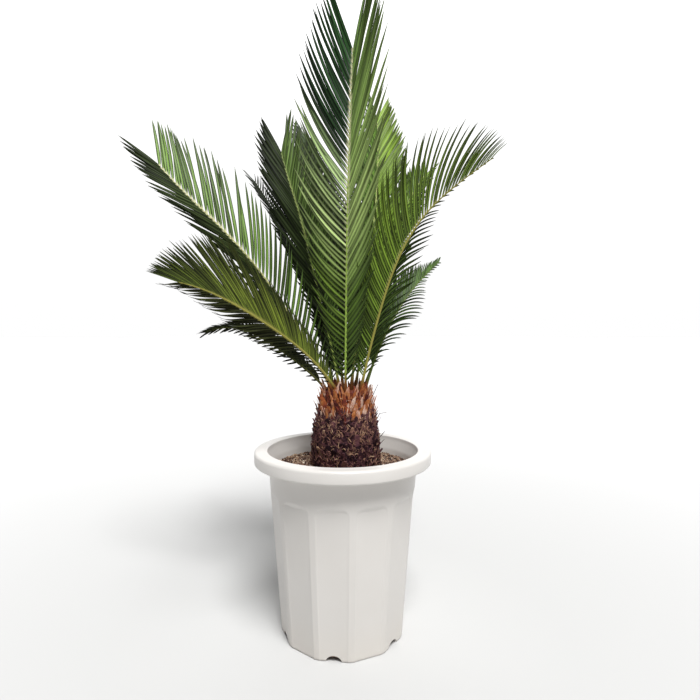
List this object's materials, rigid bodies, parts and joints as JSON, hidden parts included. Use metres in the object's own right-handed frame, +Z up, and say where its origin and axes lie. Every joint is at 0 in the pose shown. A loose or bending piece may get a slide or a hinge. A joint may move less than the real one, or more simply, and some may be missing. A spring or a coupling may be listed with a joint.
{
  "type": "potted cycad",
  "caption": "Young cycad with a short scaly trunk and a crown of arching feathery fronds, standing in gritty soil in a tall panelled white pot with a broad rim.",
  "frame": {"origin": "middle of the pot's flat underside, on the surface the pot stands on", "axes": "+Z up, -Y towards the picture's camera, +X to the right as seen there"},
  "size_m": [0.5242, 0.3702, 0.9136],
  "materials": {
    "pot": "moulded warm white plastic with a soft sheen",
    "soil": "damp gritty potting mix of brown and tan grains",
    "trunk": "dark purple-brown old leaf scars with coarse fibres",
    "leaf_bases": "dry orange-brown cut leaf bases with ragged ends",
    "fronds_green": "stiff leathery mid-green leaflets with a waxy sheen",
    "fronds_olive": "stiff leathery olive-green leaflets on a yellow-brown rib",
    "fronds_dark": "stiff leathery dark green leaflets with a waxy sheen",
    "fronds_bright": "younger yellow-green leaflets with a waxy sheen"
  },
  "bodies": {
    "root": {"pot": "pot", "soil": "soil", "trunk": "trunk", "leaf_bases": "leaf_bases", "frond_centre": "fronds_green", "frond_left_high": "fronds_green", "frond_left_mid": "fronds_olive", "frond_right_arching": "fronds_olive", "frond_upper_left": "fronds_green", "frond_left_low": "fronds_dark", "frond_right_low": "fronds_green", "frond_back_right": "fronds_bright", "frond_back_centre": "fronds_dark", "frond_right_back": "fronds_bright", "frond_back_left": "fronds_dark"}
  },
  "joints": []
}
